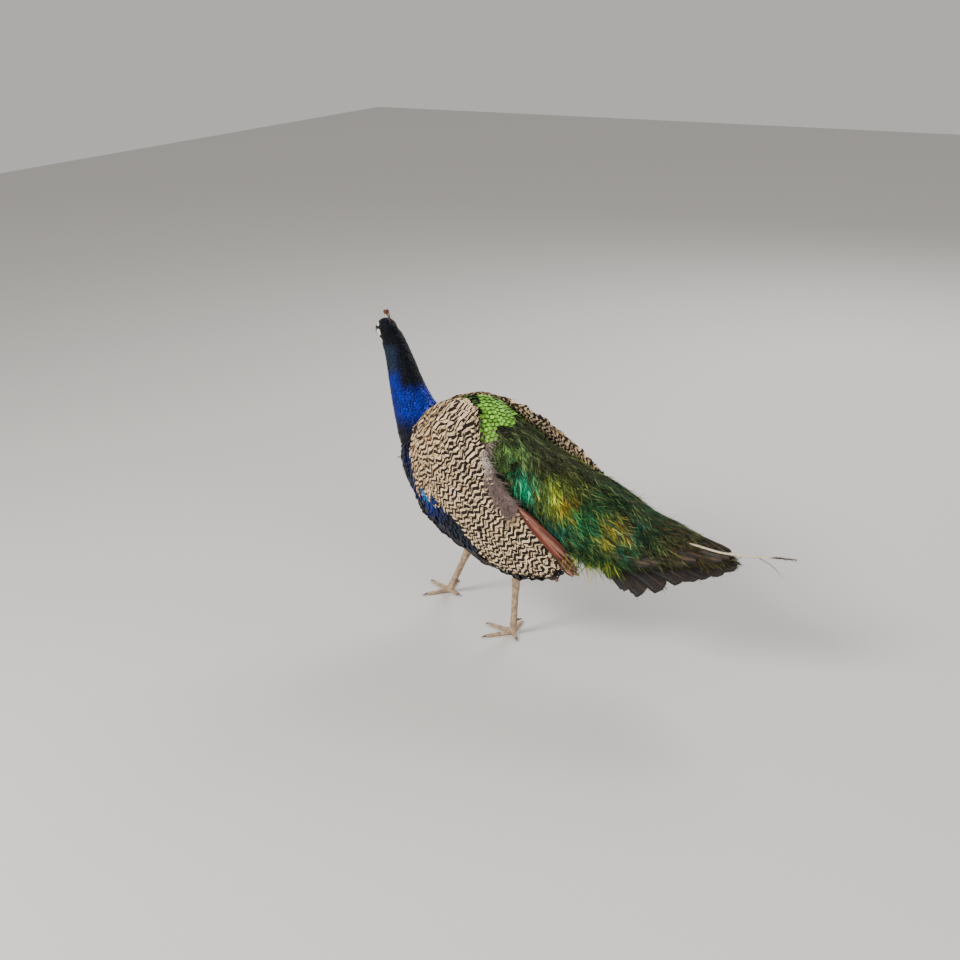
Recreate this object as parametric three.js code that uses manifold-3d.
// An Indian peacock (Pavo cristatus) walking, head turned a little to its right, in moult with a short train.
// Millimetres, +Z up. The bird faces -Y and its left side is +X.
// While it is built, the origin is on the ground midway between the feet. At the end the group is moved so
// that the origin is on the ground under the middle of the whole bird.
import * as THREE from 'three';
import { mergeVertices } from 'three/addons/utils/BufferGeometryUtils.js';
import Module from 'manifold-3d';

const wasm = await Module();
wasm.setup();

// ---- driving dimensions -------------------------------------------------------------------------------
const GAP = 0.3;                                  // clearance kept between neighbouring pieces
const STRIDE = 274;                               // front foot to back foot, along the walk
const STANCE = 95;                                // left foot to right foot, across the walk
const TARSUS = 142;                               // ankle above the ground
const TARSUS_RADIUS = 6.6;
const PAD_RADIUS = 8.2;                           // ball of the foot
const TOE_RADIUS = 5.2;
const TOE_REACH = { inner: 58, middle: 76, outer: 64, back: 30 };
const CLAW_LENGTH = 13;
const SPUR_LENGTH = 18;
const HEAD_AT = new THREE.Vector3(0, -247, 676);  // middle of the skull
const HEAD_TURN = 24;                             // degrees to the bird's right
const HEAD_NOD = 6;                               // degrees down
const BILL_LENGTH = 37;
const EYE_RADIUS = 6.2;
const CREST_REACH = 40;
const CREST_FEATHERS = 5;
const WING_WALL = 26;                             // thickness of a folded wing at its middle
const EDGE_WALL = 2.4;                            // thickness of a wing at its edge
const LAYER = 9;                                  // from the barred feathers down to the layer under them
const CAPE_WALL = 9;
const TAIL_WALL = 1.6;                            // half the thickness of a tail feather

const SIDES = [['left', 1], ['right', -1]];
const v3 = (x, y, z) => new THREE.Vector3(x, y, z);
const { clamp, degToRad } = THREE.MathUtils;

// ---- materials ----------------------------------------------------------------------------------------
const paint = (color, roughness, metalness = 0) =>
  new THREE.MeshStandardMaterial({ color, roughness, metalness });
const blueFeather = paint('#1c3f9e', 0.45, 0.3);
const darkFeather = paint('#1d2a2c', 0.55, 0.2);
const barredFeather = paint('#b7a68c', 0.75);
const scaleFeather = paint('#6fae3a', 0.45, 0.3);
const greenFeather = paint('#2f6b3a', 0.5, 0.3);
const chestnutFeather = paint('#7a4a34', 0.7);
const brownFeather = paint('#4a3b30', 0.75);
const buffFeather = paint('#a08b6e', 0.85);
const crestFeather = paint('#6d3a26', 0.6);
const legSkin = paint('#c2a684', 0.7);
const billHorn = paint('#7c7468', 0.45);
const clawHorn = paint('#4b4038', 0.5);
const quill = paint('#d9cdb4', 0.55);
const eyeball = paint('#120c08', 0.08);

// ---- solids -------------------------------------------------------------------------------------------
const solidOf = (geometry) => {
  const bare = geometry.clone();
  bare.deleteAttribute('normal');
  bare.deleteAttribute('uv');
  const merged = mergeVertices(bare, 1e-4);
  return new wasm.Manifold(new wasm.Mesh({
    numProp: 3,
    vertProperties: new Float32Array(merged.attributes.position.array),
    triVerts: new Uint32Array(merged.index.array),
  }));
};

const geometryOf = (solid) => {
  const mesh = solid.getMesh();
  const geometry = new THREE.BufferGeometry();
  geometry.setAttribute('position', new THREE.BufferAttribute(new Float32Array(mesh.vertProperties), 3));
  geometry.setIndex(new THREE.BufferAttribute(new Uint32Array(mesh.triVerts), 1));
  return geometry;
};

const joined = (solids) => solids.reduce((all, solid) => all.add(solid));

// A cut can leave crumbs: only the largest lump of a piece is kept.
const largest = (solid) => solid.decompose().sort((a, b) => b.volume() - a.volume())[0];

// A closed skin over rings of points. The first and last rings are closed by a point in their middle.
const skinOver = (rings) => {
  const count = rings[0].length;
  const middle = (ring) => ring.reduce((sum, p) => sum.add(p), v3(0, 0, 0)).divideScalar(count);
  const points = [...rings.flat(), middle(rings[0]), middle(rings[rings.length - 1])];
  const first = points.length - 2;
  const last = points.length - 1;
  const faces = [];
  rings.forEach((ring, r) => {
    ring.forEach((_, k) => {
      const a = r * count + k;
      const b = r * count + (k + 1) % count;
      if (r === 0) faces.push(first, b, a);
      if (r === rings.length - 1) {
        faces.push(last, a, b);
      } else {
        faces.push(a, b, b + count, a, b + count, a + count);
      }
    });
  });
  // The rings may run either way round: six times the volume tells which way the faces look.
  let volume = 0;
  for (let i = 0; i < faces.length; i += 3) {
    volume += points[faces[i]].dot(points[faces[i + 1]].clone().cross(points[faces[i + 2]]));
  }
  const geometry = new THREE.BufferGeometry();
  geometry.setAttribute('position', new THREE.Float32BufferAttribute(points.flatMap((p) => p.toArray()), 3));
  geometry.setIndex(volume > 0 ? faces : faces.reverse());
  return solidOf(geometry);
};

// The curve through rows of numbers: every column runs smoothly, whatever it stands for.
const smooth = (rows) => {
  const width = rows[0].length;
  const curves = [];
  for (let c = 0; c < width; c += 3) {
    const triples = rows.map((row) => v3(row[c], row[c + 1] ?? 0, row[c + 2] ?? 0));
    curves.push(new THREE.CatmullRomCurve3(triples, false, 'catmullrom', 0.5));
  }
  return (t) => curves.flatMap((curve) => curve.getPoint(t).toArray()).slice(0, width);
};

// Steps from 0 to 1 that lie closer together near both ends, where a form closes.
const eased = (i, steps) => 0.5 - 0.5 * Math.cos((Math.PI * i) / steps);

// Each form below takes `grow`, which makes it that much larger all round: a neighbour is cut by the grown
// form, so that a clearance is left.

// A limb: rows of x, y, z, half width, half depth along its middle line. `level` is the ring's own side.
// Where it would sink into the ground it is pressed flat.
const limb = (rows, steps, around, grow = 0, level = v3(1, 0, 0)) => {
  const at = smooth(rows);
  const rings = [];
  for (let i = 0; i <= steps; i += 1) {
    const t = i / steps;
    const [x, y, z, wide, deep] = at(t);
    const ahead = v3(...at(Math.min(1, t + 0.01)));
    const behind = v3(...at(Math.max(0, t - 0.01)));
    const along = ahead.sub(behind).normalize();
    const normal = along.clone().cross(level).normalize();
    const side = normal.clone().cross(along).normalize();
    const past = (i === 0 ? -grow : 0) + (i === steps ? grow : 0);
    const ring = [];
    for (let k = 0; k < around; k += 1) {
      const angle = (2 * Math.PI * k) / around;
      const point = v3(x, y, z)
        .addScaledVector(along, past)
        .addScaledVector(side, (wide + grow) * Math.cos(angle))
        .addScaledVector(normal, (deep + grow) * Math.sin(angle));
      ring.push(point.setZ(Math.max(point.z, -grow)));
    }
    rings.push(ring);
  }
  return skinOver(rings);
};

// A hull cut in upright slices: rows of y, top, bottom, half width, height of the widest level.
const hull = (rows, steps, around, grow = 0) => {
  const at = smooth(rows);
  const rings = [];
  for (let i = 0; i <= steps; i += 1) {
    const [y, top, bottom, wide, waist] = at(eased(i, steps));
    const past = (i === 0 ? -grow : 0) + (i === steps ? grow : 0);
    const ring = [];
    for (let k = 0; k < around; k += 1) {
      const angle = (2 * Math.PI * k) / around;
      const reach = (Math.sin(angle) > 0 ? top - waist : waist - bottom) + grow;
      ring.push(v3((wide + grow) * Math.cos(angle), y + past, waist + reach * Math.sin(angle)));
    }
    rings.push(ring);
  }
  return skinOver(rings);
};

// A plate: `face(u, v)` is its outer face, `wall(u, v)` its thickness and `inward(u, v)` the way in.
const plate = ({ face, wall, inward, across, along }, grow = 0) => {
  const rings = [];
  const edge = 0.15;                              // the ends stop this share of a step short of closing
  for (let i = 0; i <= along; i += 1) {
    const u = eased(i + edge, along + 2 * edge);
    const toward = (i === 0 ? -1 : 0) + (i === along ? 1 : 0);
    const outer = [];
    const inner = [];
    for (let j = 0; j <= across; j += 1) {
      const v = j / across;
      const point = face(u, v);
      const way = inward(u, v);
      if (j === 0 || j === across) {
        const near = face(u, j === 0 ? 0.05 : 0.95);
        point.addScaledVector(point.clone().sub(near).normalize(), grow);
      }
      if (toward !== 0) point.addScaledVector(face(u, v).sub(face(u - 0.02 * toward, v)).normalize(), grow);
      outer.push(point.clone().addScaledVector(way, -grow));
      inner.push(point.clone().addScaledVector(way, wall(u, v) + grow));
    }
    rings.push([...outer, ...inner.reverse()]);
  }
  return skinOver(rings);
};

const ball = (radius, at, round = 14) => {
  const geometry = new THREE.SphereGeometry(radius, round, Math.round(round * 0.7));
  geometry.translate(at.x, at.y, at.z);
  return solidOf(geometry);
};

// Half of space beyond a plane through `point`, on the side that `way` points to, from `off` past it.
const FAR = 1500;
const beyond = ([point, way], off = 0) => {
  const geometry = new THREE.BoxGeometry(FAR, FAR, FAR);
  geometry.translate(0, 0, FAR / 2 + off);
  geometry.applyQuaternion(new THREE.Quaternion().setFromUnitVectors(v3(0, 0, 1), way.clone().normalize()));
  geometry.translate(point.x, point.y, point.z);
  return solidOf(geometry);
};
const UNDERGROUND = beyond([v3(0, 0, 0), v3(0, 0, -1)]);

const bird = new THREE.Group();
bird.name = 'peacock';
const place = (name, solid, material) => {
  const mesh = new THREE.Mesh(geometryOf(largest(solid)), material);
  mesh.name = name;
  bird.add(mesh);
};

// ---- trunk: y, top, bottom, half width, widest level ----------------------------------------------------
const TRUNK = [
  [-194, 402, 372, 14, 388],
  [-186, 440, 328, 44, 388],
  [-162, 474, 292, 70, 388],
  [-118, 504, 260, 92, 384],
  [-60, 534, 234, 104, 376],
  [0, 553, 222, 108, 368],
  [55, 550, 220, 108, 362],
  [105, 520, 228, 100, 358],
  [160, 484, 252, 86, 358],
  [215, 448, 290, 68, 362],
  [262, 416, 330, 40, 370],
  [282, 394, 362, 14, 378],
];
const trunkForm = (grow) => hull(TRUNK, 13, 16, grow);

// ---- neck: x, y, z, half width, half depth ----------------------------------------------------------------
const NECK = [
  [0, -92, 392, 78, 104],
  [0, -138, 438, 66, 78],
  [0, -170, 488, 51, 57],
  [0, -190, 540, 43, 45],
  [0, -204, 590, 36, 38],
  [0, -216, 628, 30, 33],
  [0, -227, 655, 25, 29],
  [0, -240, 676, 16, 20],
];
const neckForm = (grow) => limb(NECK, 10, 13, grow);

// ---- head, in its own frame: ahead, left, up -----------------------------------------------------------------
const turn = degToRad(HEAD_TURN);
const nod = degToRad(HEAD_NOD);
const forward = v3(-Math.sin(turn) * Math.cos(nod), -Math.cos(turn) * Math.cos(nod), -Math.sin(nod));
const leftward = v3(Math.cos(turn), -Math.sin(turn), 0);
const upward = forward.clone().cross(leftward);
const onHead = (ahead, left, up) => HEAD_AT.clone()
  .addScaledVector(forward, ahead)
  .addScaledVector(leftward, left)
  .addScaledVector(upward, up);
// rows of ahead, up, half width, half height
const headLimb = (rows, steps, around, grow) => limb(
  rows.map(([ahead, up, wide, deep]) => [...onHead(ahead, 0, up).toArray(), wide, deep]),
  steps, around, grow, leftward,
);
const HEAD = [
  [-34, -3, 6, 7],
  [-31, -2, 14, 17],
  [-21, 0, 20.5, 24.5],
  [-6, 1, 23, 28],
  [8, 0, 22, 26],
  [20, -2.5, 17.5, 19.5],
  [29, -4.5, 12.5, 13],
  [35, -5.5, 9.2, 9.8],
  [38, -6, 6, 7],
];
const headForm = (grow) => headLimb(HEAD, 9, 12, grow);

// root half width and half height, rise of the root, drop of the tip, length
const BILL = {
  upper: [7.2, 5.4, 2.3, 7.5, BILL_LENGTH],
  lower: [6.2, 3.4, -4.2, 1.5, BILL_LENGTH - 6],
};
const BILL_ROOT = [34, -5.5];                     // ahead and up of the skull's middle
const billForm = (half, grow) => {
  const [wide, deep, rise, drop, length] = BILL[half];
  return headLimb([0, 0.3, 0.6, 0.85, 1].map((t) => [
    BILL_ROOT[0] + length * t,
    BILL_ROOT[1] + rise - drop * t ** 2.6,
    wide * (1 - t) ** 0.7 + 0.7,
    deep * (1 - 0.8 * t) + 0.1,
  ]), 5, 7, grow);
};

const EYE_AT = [15, 15.2, 5];                     // ahead, out to the side, up
const eyeForm = (sign, grow) => ball(EYE_RADIUS + grow, onHead(EYE_AT[0], sign * EYE_AT[1], EYE_AT[2]), 9);

const GROWN_HEAD = headForm(GAP);
place('head', headForm(0).subtract(eyeForm(1, GAP)).subtract(eyeForm(-1, GAP)), darkFeather);
place('bill_upper', billForm('upper', 0).subtract(GROWN_HEAD), billHorn);
place('bill_lower', billForm('lower', 0).subtract(GROWN_HEAD).subtract(billForm('upper', GAP)), billHorn);
SIDES.forEach(([side, sign]) => place(`eye_${side}`, eyeForm(sign, 0), eyeball));

// The crest is a fan of bare shafts, each with a small vane at its tip, bent forward.
const CREST_ROOT = [-22, 21];                     // ahead and up of the skull's middle
const crestFeatherForm = (fan) => {
  const reach = CREST_REACH * (1 - 0.1 * Math.abs(fan));
  const rows = [0, 0.4, 0.75, 0.9, 1].map((t) => {
    const bend = reach * (0.28 * fan * t + 0.5 * t * t);
    const rise = reach * (0.95 * t - 0.22 * t * t - 0.1 * Math.abs(fan) * t);
    const vane = t > 0.8 ? 3.6 * (1.9 - 1.6 * t) : 0.8;
    return [...onHead(CREST_ROOT[0] + bend, 0.1 * reach * t * t, CREST_ROOT[1] + rise).toArray(), 0.8, vane];
  });
  return limb(rows, 4, 4, 0, leftward);
};
const crest = joined(Array.from({ length: CREST_FEATHERS },
  (_, k) => crestFeatherForm((2 * k) / (CREST_FEATHERS - 1) - 1)));
place('crest', crest.subtract(GROWN_HEAD), crestFeather);

// ---- flesh, parted by thin cuts ---------------------------------------------------------------------------------
const CUTS = {
  neckBase: [v3(0, -140, 455), v3(0, -0.55, 0.83)],
  neckMiddle: [v3(0, -199, 540), v3(0, -0.4, 0.92)],
  breast: [v3(0, -85, 380), v3(0, -0.9, 0.42)],
  rump: [v3(0, 125, 400), v3(0, 0.86, -0.1)],
};
const flesh = trunkForm(0).add(neckForm(0)).subtract(GROWN_HEAD);
const neck = flesh.intersect(beyond(CUTS.neckBase, GAP));
const body = flesh.subtract(beyond(CUTS.neckBase));
place('neck_upper', neck.intersect(beyond(CUTS.neckMiddle, GAP)), blueFeather);
place('neck_lower', neck.subtract(beyond(CUTS.neckMiddle)), blueFeather);
place('breast', body.intersect(beyond(CUTS.breast, GAP)), blueFeather);
place('trunk', body.subtract(beyond(CUTS.breast)).subtract(beyond(CUTS.rump)), darkFeather);
place('rump', body.intersect(beyond(CUTS.rump, GAP)), greenFeather);
const GROWN_FLESH = trunkForm(GAP).add(neckForm(GAP));

// ---- wings ------------------------------------------------------------------------------------------------------------
// The outer form that each folded wing lies on: y, top, half width, widest level, depth below that level, dip
// of the top beside the middle line. The left wing hangs lower than the right.
const OVER = {
  left: [
    [-170, 440, 46, 398, 200, 0],
    [-140, 484, 78, 392, 200, 0],
    [-110, 511, 100, 385, 200, 0],
    [-60, 543, 120, 370, 200, 0],
    [0, 562, 130, 350, 200, 0],
    [60, 563, 132, 330, 200, 0],
    [120, 543, 130, 312, 200, 12],
    [200, 500, 119, 290, 200, 16],
    [260, 452, 106, 270, 200, 16],
    [310, 410, 92, 252, 200, 16],
    [360, 380, 80, 250, 200, 16],
  ],
  right: [
    [-170, 440, 46, 400, 190, 0],
    [-140, 484, 78, 396, 190, 0],
    [-110, 511, 100, 392, 190, 0],
    [-60, 542, 120, 388, 190, 0],
    [0, 560, 130, 384, 190, 0],
    [60, 561, 132, 378, 190, 0],
    [120, 548, 130, 370, 190, 14],
    [200, 516, 119, 362, 190, 20],
    [260, 484, 106, 352, 180, 20],
    [310, 452, 92, 342, 170, 16],
    [390, 396, 72, 330, 160, 12],
  ],
};
const DIP_REACH = 42;
// Rows across each layer of a wing, from the shoulder to its tip: upper edge y, z, lower edge y, z.
const BARRED = {
  left: [
    [-130, 490, -132, 486], [-102, 514, -152, 464], [-60, 539, -160, 430], [-10, 556, -156, 392],
    [40, 558, -134, 352], [66, 543, -94, 318], [82, 512, -48, 293], [104, 478, 6, 261],
    [140, 438, 62, 228], [178, 393, 124, 204], [228, 346, 190, 192], [268, 305, 243, 192],
    [294, 258, 283, 202], [304, 228, 304, 219],
  ],
  right: [
    [-130, 490, -132, 486], [-102, 514, -152, 464], [-60, 539, -160, 430], [-10, 554, -156, 392],
    [38, 556, -134, 358], [88, 545, -98, 330], [136, 524, -54, 306], [176, 503, -2, 286],
    [214, 482, 58, 272], [250, 460, 120, 266], [286, 434, 190, 270], [315, 408, 252, 290],
    [336, 382, 306, 322], [346, 364, 346, 354],
  ],
};
// The dark hind edge shows below the barred feathers, and the chestnut flight feathers behind it.
const HIND_EDGE = {
  left: [
    [-96, 350, -126, 312], [-50, 320, -88, 282], [10, 290, -40, 252], [80, 255, 22, 216],
    [150, 238, 90, 186], [215, 232, 165, 172], [270, 232, 232, 174], [306, 222, 292, 196],
    [316, 214, 314, 208],
  ],
  right: [
    [-96, 370, -126, 334], [-50, 345, -88, 306], [10, 320, -40, 282], [80, 305, 22, 262],
    [150, 300, 90, 250], [215, 305, 165, 246], [270, 325, 232, 260], [320, 350, 298, 296],
    [352, 362, 350, 350],
  ],
};
const FLIGHT = {
  left: [
    [110, 392, 90, 330], [160, 372, 140, 285], [210, 346, 190, 245], [260, 314, 240, 226],
    [310, 282, 290, 222], [338, 258, 336, 244],
  ],
  right: [
    [150, 430, 130, 360], [200, 420, 180, 325], [250, 402, 230, 308], [300, 382, 285, 306],
    [350, 362, 340, 318], [386, 340, 384, 328],
  ],
};

// Where the outer form passes a height at a slice y, as an angle round the slice, and back to a point.
const overForm = (rows, sign) => {
  const at = smooth(rows);
  const slice = (y) => {
    let low = 0;
    let high = 1;
    for (let halving = 0; halving < 26; halving += 1) {
      const t = (low + high) / 2;
      if (at(t)[0] < y) low = t; else high = t;
    }
    return at((low + high) / 2);
  };
  const angleAt = (y, z) => {
    const [, top, , waist, below] = slice(y);
    return Math.asin(clamp(z > waist ? (z - waist) / (top - waist) : (z - waist) / below, -0.999, 0.999));
  };
  const pointAt = (y, angle, lift) => {
    const [, top, wide, waist, below, dip] = slice(y);
    const x = (wide + lift) * Math.cos(angle);
    const reach = angle > 0 ? top - waist : below;
    const z = waist + (reach + lift) * Math.sin(angle) - dip * Math.exp(-((x / DIP_REACH) ** 2));
    return v3(sign * x, y, z);
  };
  return { angleAt, pointAt };
};

// One layer of a wing, `lift` above the outer form.
const wingLayer = (side, edges, lift, wall, across, along) => {
  const sign = side === 'left' ? 1 : -1;
  const form = overForm(OVER[side], sign);
  const at = smooth(edges);
  const track = (u, v) => {
    const [upperY, upperZ, lowerY, lowerZ] = at(clamp(u, 0, 1));
    const upper = form.angleAt(upperY, upperZ);
    const lower = form.angleAt(lowerY, lowerZ);
    return [upperY + (lowerY - upperY) * v, upper + (lower - upper) * v];
  };
  const face = (u, v) => form.pointAt(...track(u, v), lift);
  const inward = (u, v) => {
    const angle = track(u, v)[1];
    return v3(-sign * Math.cos(angle), 0, -Math.sin(angle) * (angle > 0 ? 0.8 : 0.35)).normalize();
  };
  return { face, wall, inward, across, along };
};
const swelling = (u, v) => EDGE_WALL
  + (WING_WALL - EDGE_WALL) * Math.sqrt(Math.max(0, Math.sin(Math.PI * v) * Math.sin(Math.PI * u)));
const leaf = () => EDGE_WALL + 1;
const LAYERS = {
  barred: (side) => wingLayer(side, BARRED[side], 0, swelling, 6, 12),
  hind: (side) => wingLayer(side, HIND_EDGE[side], -LAYER, leaf, 2, 8),
  flight: (side) => wingLayer(side, FLIGHT[side], -2 * LAYER, leaf, 2, 5),
};
const bothSides = (layer, grow) => joined(SIDES.map(([side]) => plate(LAYERS[layer](side), grow)));
const GROWN = Object.fromEntries(Object.keys(LAYERS).map((layer) => [layer, bothSides(layer, GAP)]));
SIDES.forEach(([side]) => {
  place(`wing_${side}`, plate(LAYERS.barred(side)).subtract(GROWN_FLESH), barredFeather);
});
const HEAVY = GROWN_FLESH.add(GROWN.barred);

// ---- cape: the green scale feathers between the wings ----------------------------------------------------------------
// y, height on the middle line, reach to the right, reach to the left
const CAPE = [
  [26, 561, 6, 8],
  [48, 559, 26, 30],
  [80, 545, 50, 74],
  [112, 526, 58, 92],
  [144, 508, 52, 88],
  [170, 494, 36, 66],
  [184, 485, 10, 20],
];
const CAPE_FALL = 0.0088;                         // drop beside the middle line, per millimetre squared
const capeAt = smooth(CAPE);
const CAPE_PLATE = {
  face: (u, v) => {
    const [y, top, toRight, toLeft] = capeAt(clamp(u, 0, 1));
    const x = -toRight + (toRight + toLeft) * v;
    return v3(x, y, top - CAPE_FALL * x * x);
  },
  wall: () => CAPE_WALL,
  inward: () => v3(0, 0, -1),
  across: 5,
  along: 6,
};
place('cape', plate(CAPE_PLATE).subtract(HEAVY), scaleFeather);

// ---- train: y, top, bottom, half width, widest level ------------------------------------------------------------------
const TRAIN = [
  [100, 508, 420, 30, 452],
  [128, 508, 372, 58, 412],
  [170, 492, 325, 76, 372],
  [220, 470, 292, 84, 335],
  [290, 446, 262, 88, 292],
  [350, 430, 244, 88, 268],
  [410, 402, 244, 84, 264],
  [480, 368, 258, 74, 278],
  [550, 352, 272, 60, 290],
  [610, 330, 282, 46, 297],
  [662, 314, 291, 28, 302],
  [694, 308, 299, 9, 304],
];
// the hollow under the train, where the tail lies
const HOLLOW = [
  [250, 372, 180, 30, 320],
  [262, 388, 150, 48, 310],
  [300, 396, 120, 62, 300],
  [360, 385, 120, 68, 285],
  [430, 358, 120, 64, 275],
  [500, 334, 120, 56, 280],
  [570, 318, 120, 44, 290],
  [640, 306, 120, 30, 296],
  [720, 296, 120, 20, 290],
];
const trainForm = (grow) => hull(TRAIN, 12, 13, grow).subtract(hull(HOLLOW, 7, 8, -grow));
const train = trainForm(0).subtract(HEAVY).subtract(plate(CAPE_PLATE, GAP));
place('train', train, greenFeather);
const GROWN_TRAIN = trainForm(GAP);

SIDES.forEach(([side]) => {
  const clear = HEAVY.add(GROWN_TRAIN);
  place(`hind_edge_${side}`, plate(LAYERS.hind(side)).subtract(clear), darkFeather);
  place(`flight_${side}`, plate(LAYERS.flight(side)).subtract(GROWN.hind).subtract(clear), chestnutFeather);
});
const OUTSIDE = HEAVY.add(GROWN_TRAIN).add(GROWN.hind).add(GROWN.flight);

// ---- tail: the stiff feathers under the train stand as a fan on the root of the tail ----------------------------------
// tip x, y, z and width of each feather on one side, from the outermost to the middle one
const TAIL_TIPS = [
  [54, 430, 224, 42],
  [54, 510, 208, 60],
  [46, 606, 258, 50],
  [32, 660, 278, 46],
  [12, 704, 292, 42],
];
const TAIL_ROOT = v3(0, 288, 330);
const tailFeather = (sign, [tipX, tipY, tipZ, width], grow) => {
  const tip = v3(sign * tipX, tipY, tipZ);
  const root = v3(sign * 0.35 * tipX, TAIL_ROOT.y, TAIL_ROOT.z - 0.3 * tipX);
  const along = tip.clone().sub(root);
  const slope = degToRad(12 + 1.1 * tipX);
  const rows = [0, 0.2, 0.5, 0.8, 0.93, 0.985, 1].map((t) => {
    const rounding = Math.sqrt(Math.max(0.004, 1 - Math.max(0, (t - 0.8) / 0.2) ** 2));
    const wide = (width / 2) * Math.min(0.4 + 0.9 * t, 1) * rounding;
    return [...root.clone().addScaledVector(along, t).add(v3(0, 0, 14 * t * (1 - t))).toArray(), wide, TAIL_WALL];
  });
  return limb(rows, 5, 4, grow, v3(sign * Math.cos(slope), 0, -Math.sin(slope)));
};
const tailForm = (grow) => joined([
  ball(24 + grow, TAIL_ROOT, 7),
  ...SIDES.flatMap(([, sign]) => TAIL_TIPS.map((row) => tailFeather(sign, row, grow))),
]);
place('tail', tailForm(0).subtract(OUTSIDE), brownFeather);

// One long train feather has lost its vane: a bare shaft with worn side branches and a frayed tip.
const PLUME = [
  [[18, 556, 330, 2.3, 2.3], [20, 600, 330, 2.2, 2.2], [20, 671, 326, 1.9, 1.9], [20, 740, 334, 1.6, 1.6],
    [20, 785, 343, 1.4, 1.4], [22, 812, 350, 3.4, 0.7], [24, 830, 350, 2.2, 0.6], [26, 850, 356, 0.7, 0.5]],
  [[20, 758, 337, 0.9, 0.9], [20, 785, 329, 0.8, 0.8], [20, 802, 318, 0.7, 0.7], [20, 815, 305, 0.5, 0.5]],
  [[20, 726, 332, 0.8, 0.8], [22, 712, 322, 0.7, 0.7], [25, 694, 315, 0.5, 0.5]],
];
const plume = joined(PLUME.map((rows, k) => limb(rows, k === 0 ? 12 : 4, 4)));
place('plume_shaft', plume.subtract(GROWN_TRAIN).subtract(tailForm(GAP)), quill);

// ---- legs ---------------------------------------------------------------------------------------------------------------
// Toes point so many degrees from straight ahead, to the bird's left. Thigh: x, y, z, half width, half depth.
const LEGS = {
  left: {
    foot: v3(STANCE / 2, STRIDE / 2, 0),
    ankle: v3(STANCE / 2 + 3, STRIDE / 2 + 19, TARSUS + 8),
    toes: { inner: -72, middle: -4, outer: 49, back: 142 },
    thigh: [[72, 78, 292, 44, 56], [66, 112, 238, 31, 40], [57, 146, 186, 15, 17], [51, 157, 160, 10, 10.5],
      [50.5, 156, 150, 6, 7]],
    spur: 200,
  },
  right: {
    foot: v3(-STANCE / 2, -STRIDE / 2, 0),
    ankle: v3(-STANCE / 2 - 5, -STRIDE / 2 + 67, TARSUS - 8),
    toes: { inner: 52, middle: -16, outer: -67, back: 172 },
    thigh: [[-72, 2, 288, 44, 56], [-67, -26, 226, 31, 40], [-58, -56, 172, 15, 17], [-53, -68, 146, 10, 10.5],
      [-52.5, -70, 134, 6, 7]],
    spur: 168,
  },
};
const SHANK = [[0, 1.24], [0.1, 1.15], [0.3, 1], [0.72, 1], [0.9, 1.27], [0.97, 1.45], [1.03, 1.14]];
const TOE = [[0, 6.5, 1.05], [0.2, 6, 1], [0.38, 4.4, 0.88], [0.5, 4.6, 0.98], [0.64, 3.9, 0.8],
  [0.76, 4.1, 0.9], [0.9, 3.4, 0.72], [0.97, 3.6, 0.7], [1, 3.6, 0.4]];
const groundWay = (degrees) => v3(Math.sin(degToRad(degrees)), -Math.cos(degToRad(degrees)), 0);
const SPUR_UP = 0.27;                             // share of the tarsus below the spur
const CLAW_SEAT = 4;                              // length of claw inside the toe

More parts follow.
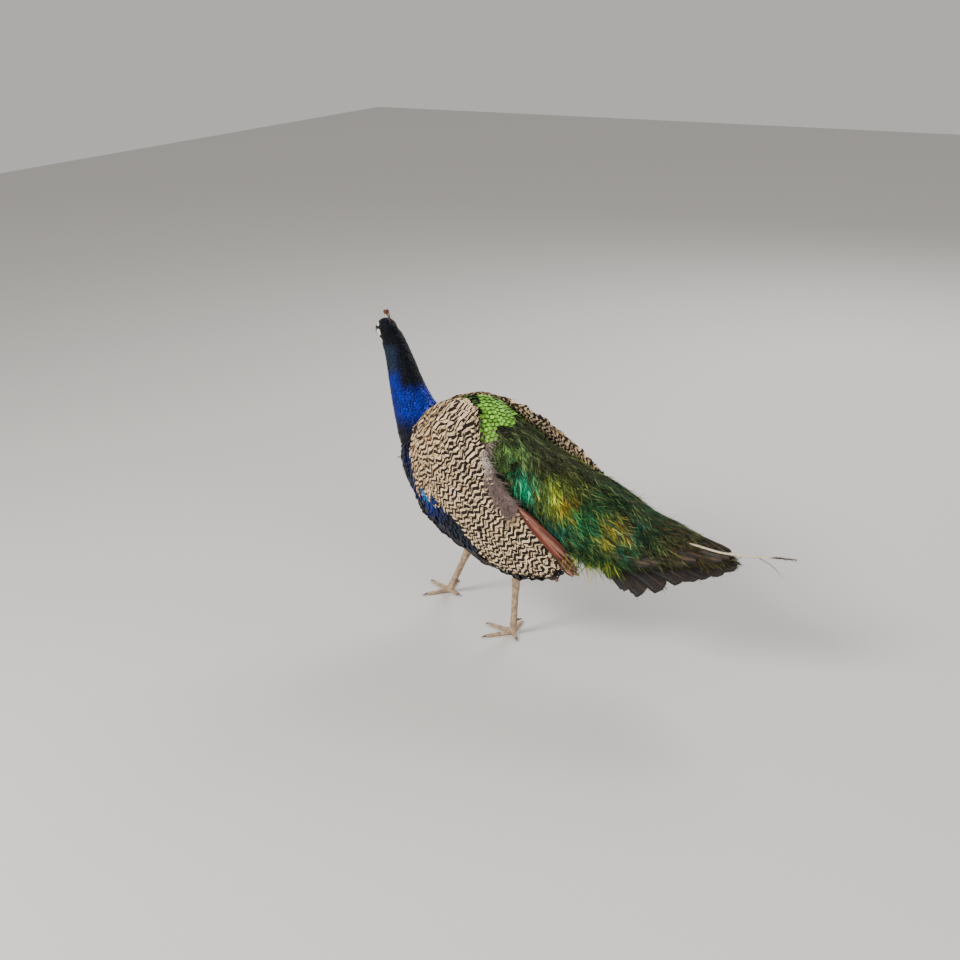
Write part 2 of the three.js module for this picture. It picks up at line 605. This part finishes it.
const shankForm = ({ foot, ankle }, grow) => {
  const heel = foot.clone().setZ(PAD_RADIUS * 0.9);
  const shin = ankle.clone().sub(heel);
  const rows = SHANK.map(([t, share]) => [
    ...heel.clone().addScaledVector(shin, t).toArray(), TARSUS_RADIUS * share, TARSUS_RADIUS * share * 1.15,
  ]);
  return limb(rows, 7, 7, grow).add(ball(PAD_RADIUS + grow, heel, 8));
};
const spurForm = ({ foot, ankle, spur }) => {
  const root = foot.clone().lerp(ankle, SPUR_UP);
  const rows = [0, 0.4, 0.8, 1].map((t) => [
    ...root.clone().addScaledVector(groundWay(spur), 3 + SPUR_LENGTH * t).add(v3(0, 0, 5 * t * t)).toArray(),
    3.9 - 3.2 * t, 3.9 - 3.2 * t,
  ]);
  return limb(rows, 3, 5);
};
const toeForm = (foot, degrees, reach, grow) => {
  const way = groundWay(degrees);
  const rows = TOE.map(([t, z, share]) => {
    const at = foot.clone().addScaledVector(way, reach * t);
    return [at.x, at.y, z, TOE_RADIUS * share, Math.max(TOE_RADIUS * share, z + 0.4)];
  });
  return limb(rows, 6, 6, grow, way.clone().cross(v3(0, 0, 1)));
};
const clawForm = (foot, degrees, reach) => {
  const way = groundWay(degrees);
  const rows = [0, 0.35, 0.7, 1].map((t) => {
    const at = foot.clone().addScaledVector(way, reach - CLAW_SEAT + (CLAW_LENGTH + CLAW_SEAT) * t);
    const thick = 2.7 * (1 - t) ** 0.8 + 0.5;
    return [at.x, at.y, 4.4 - 3.2 * t * t, thick * 0.8, thick];
  });
  return limb(rows, 3, 5, 0, way.clone().cross(v3(0, 0, 1)));
};

SIDES.forEach(([side]) => {
  const leg = LEGS[side];
  const grownShank = shankForm(leg, GAP);
  place(`shank_${side}`, shankForm(leg, 0).subtract(UNDERGROUND), legSkin);
  place(`thigh_${side}`, limb(leg.thigh, 6, 9).subtract(grownShank).subtract(OUTSIDE), buffFeather);
  place(`spur_${side}`, spurForm(leg).subtract(grownShank), clawHorn);
  let taken = grownShank;
  Object.entries(leg.toes).forEach(([toe, degrees]) => {
    const reach = TOE_REACH[toe];
    place(`toe_${side}_${toe}`, toeForm(leg.foot, degrees, reach, 0).subtract(taken), legSkin);
    taken = taken.add(toeForm(leg.foot, degrees, reach, GAP));
    place(`claw_${side}_${toe}`, clawForm(leg.foot, degrees, reach).subtract(taken), clawHorn);
  });
});

// ---- the origin goes under the middle of the bird ------------------------------------------------------------------------
const box = new THREE.Box3().setFromObject(bird);
const centre = box.getCenter(v3(0, 0, 0));
bird.position.set(-centre.x, -centre.y, -box.min.z);

export default bird;
